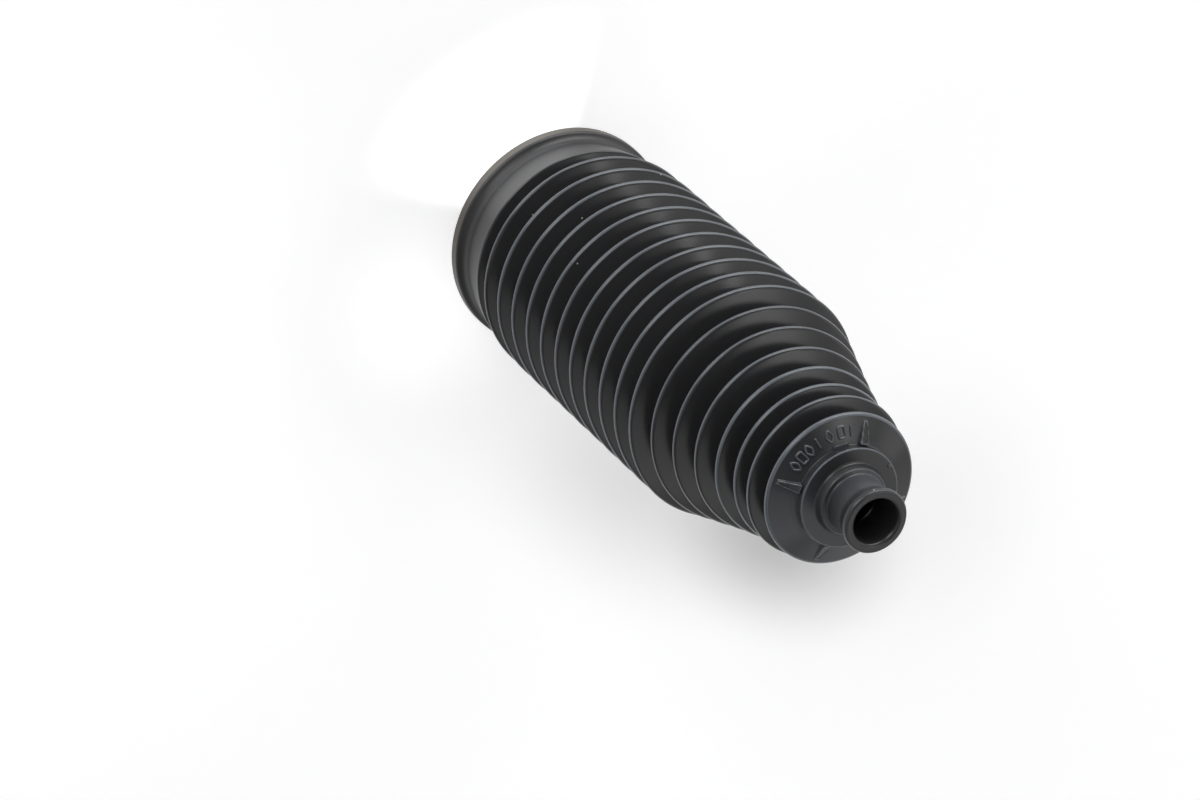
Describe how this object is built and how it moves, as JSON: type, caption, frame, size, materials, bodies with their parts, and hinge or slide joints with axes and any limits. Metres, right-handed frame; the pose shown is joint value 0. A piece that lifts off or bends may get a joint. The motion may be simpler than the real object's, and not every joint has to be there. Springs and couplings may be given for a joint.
{
  "type": "steering rack boot",
  "caption": "Tapered rubber bellows boot with a ringed clamp collar at its wide end and a stepped cone with a narrow beaded sleeve at the other.",
  "frame": {"origin": "centre of the large end's rim face, which is the face the boot stands on", "axes": "+Z along the boot's axis from the large end to the small end; +X and +Y each run through one of the wedge bars on the end cone"},
  "size_m": [0.069, 0.069, 0.1901],
  "materials": {
    "black_rubber": "satin black moulded rubber"
  },
  "bodies": {
    "root": {"bellows_boot": "black_rubber"}
  },
  "joints": []
}
